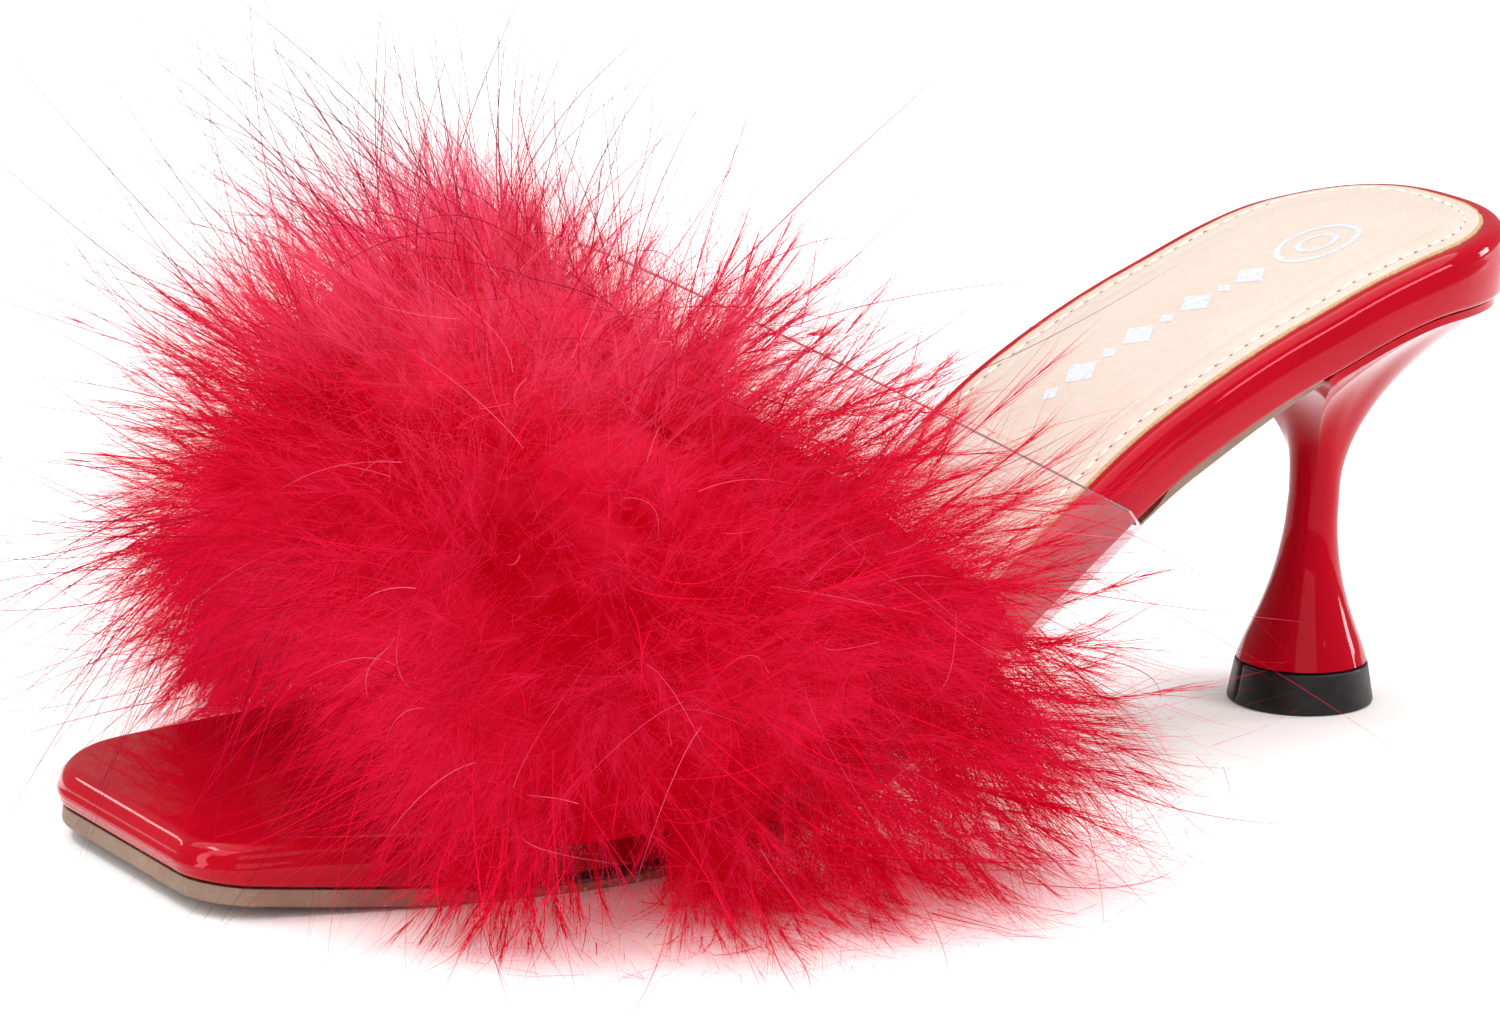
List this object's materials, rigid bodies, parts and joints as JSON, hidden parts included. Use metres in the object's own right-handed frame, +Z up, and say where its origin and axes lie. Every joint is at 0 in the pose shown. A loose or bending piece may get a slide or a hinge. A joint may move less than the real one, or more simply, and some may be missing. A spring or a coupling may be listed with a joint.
{
  "type": "marabou slipper",
  "caption": "Backless open-toed slipper with a clear instep band covered in marabou down, a square-toed board and a flared kitten heel.",
  "frame": {"origin": "middle of the heel tip's underside, on the floor", "axes": "+X along the sole to the toe, +Y to the wearer's left, +Z up from the floor"},
  "size_m": [0.2416, 0.191, 0.1123],
  "materials": {
    "patent": "glossy patent",
    "sock": "fine grain, matt",
    "outsole": "matt",
    "lacquer": "high gloss",
    "tip": "satin",
    "film": "clear gloss",
    "down": "soft feather down"
  },
  "bodies": {
    "root": {"footbed": "patent", "insole_sock": "sock", "outsole": "outsole", "heel": "lacquer", "heel_tip": "tip", "vamp": "film", "marabou": "down"}
  },
  "joints": []
}
